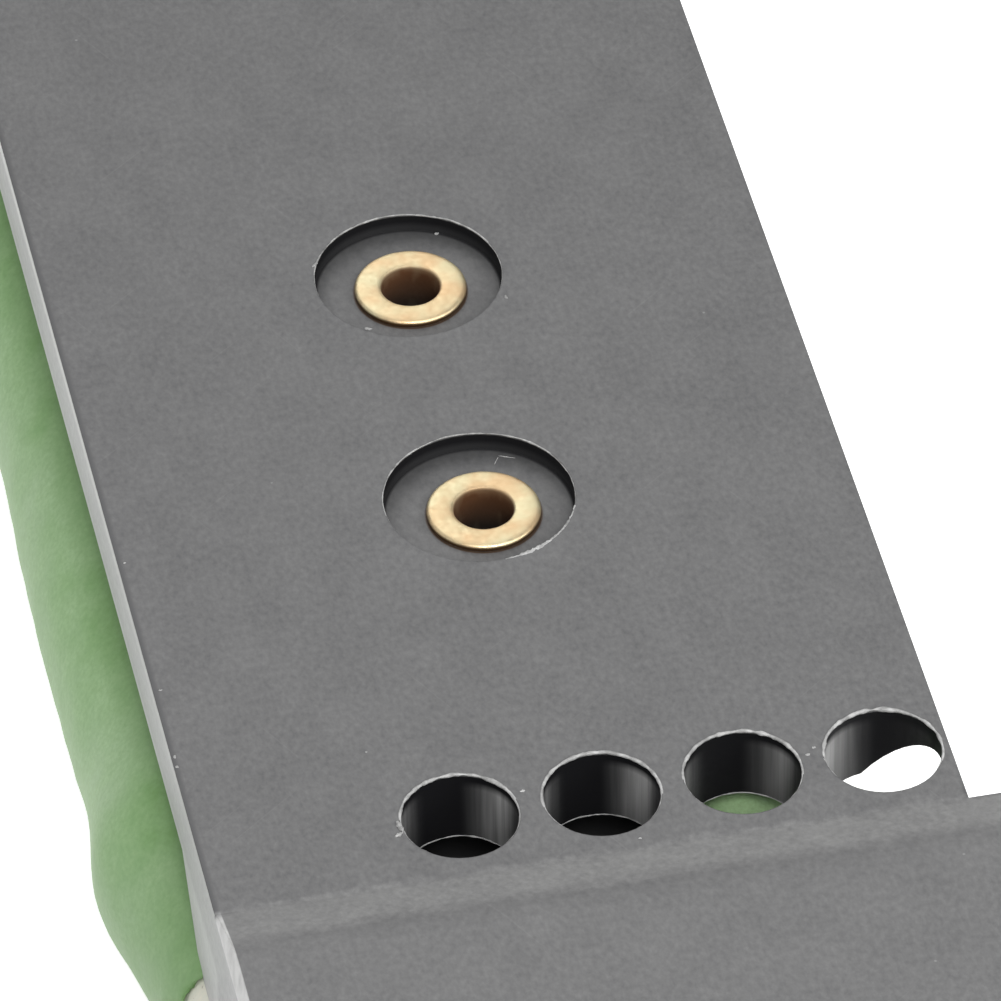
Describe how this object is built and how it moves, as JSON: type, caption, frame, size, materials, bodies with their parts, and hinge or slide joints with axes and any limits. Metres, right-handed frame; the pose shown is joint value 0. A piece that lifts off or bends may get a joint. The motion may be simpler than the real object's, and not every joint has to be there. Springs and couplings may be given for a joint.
{
  "type": "blower motor resistor",
  "caption": "Plastic tongue with a stepped head, screw flange and harness socket, carrying green cement-coated wire-wound resistors for a car's blower speeds.",
  "frame": {"origin": "middle of the flange's seat face, between its two screw holes", "axes": "+Y runs along the tongue into the air duct, +Z is the tongue's smooth upper face, +X is to the right seen from the harness socket"},
  "size_m": [0.062, 0.1218, 0.025],
  "materials": {
    "carrier_plastic": "mineral-filled moulded plastic, fine matte grain, dark grey",
    "core_ceramic": "unglazed cream steatite",
    "resistance_ribbon": "rolled resistance ribbon, dull",
    "green_cement": "hand-dipped green cement coating, satin, uneven",
    "tinned_steel": "tinned sheet steel, dull bright",
    "rivet_brass": "drawn brass with rolled rims",
    "tinned_brass": "stamped brass, tin plated",
    "fuse_steel": "drawn and plated metal can",
    "seal_epoxy": "red-brown sealing epoxy",
    "lead_wire": "tinned copper wire"
  },
  "bodies": {
    "root": {"carrier": "carrier_plastic", "main_core": "core_ceramic", "main_winding": "resistance_ribbon", "main_coating": "green_cement", "main_head_lug": "tinned_steel", "main_tap_lug": "tinned_steel", "main_tip_lug": "tinned_steel", "second_core": "core_ceramic", "second_winding": "resistance_ribbon", "second_coating": "green_cement", "second_head_lug": "tinned_steel", "second_tap_lug": "tinned_steel", "second_tip_lug": "tinned_steel", "lower_rivet": "rivet_brass", "upper_rivet": "rivet_brass", "blade_one": "tinned_brass", "blade_two": "tinned_brass", "blade_three": "tinned_brass", "blade_four": "tinned_brass", "lower_strip": "tinned_brass", "upper_strip": "tinned_brass", "main_link": "tinned_brass", "second_link": "tinned_brass", "fuse_can": "fuse_steel", "fuse_seal": "seal_epoxy", "inner_lead": "lead_wire", "outer_lead": "lead_wire"}
  },
  "joints": []
}
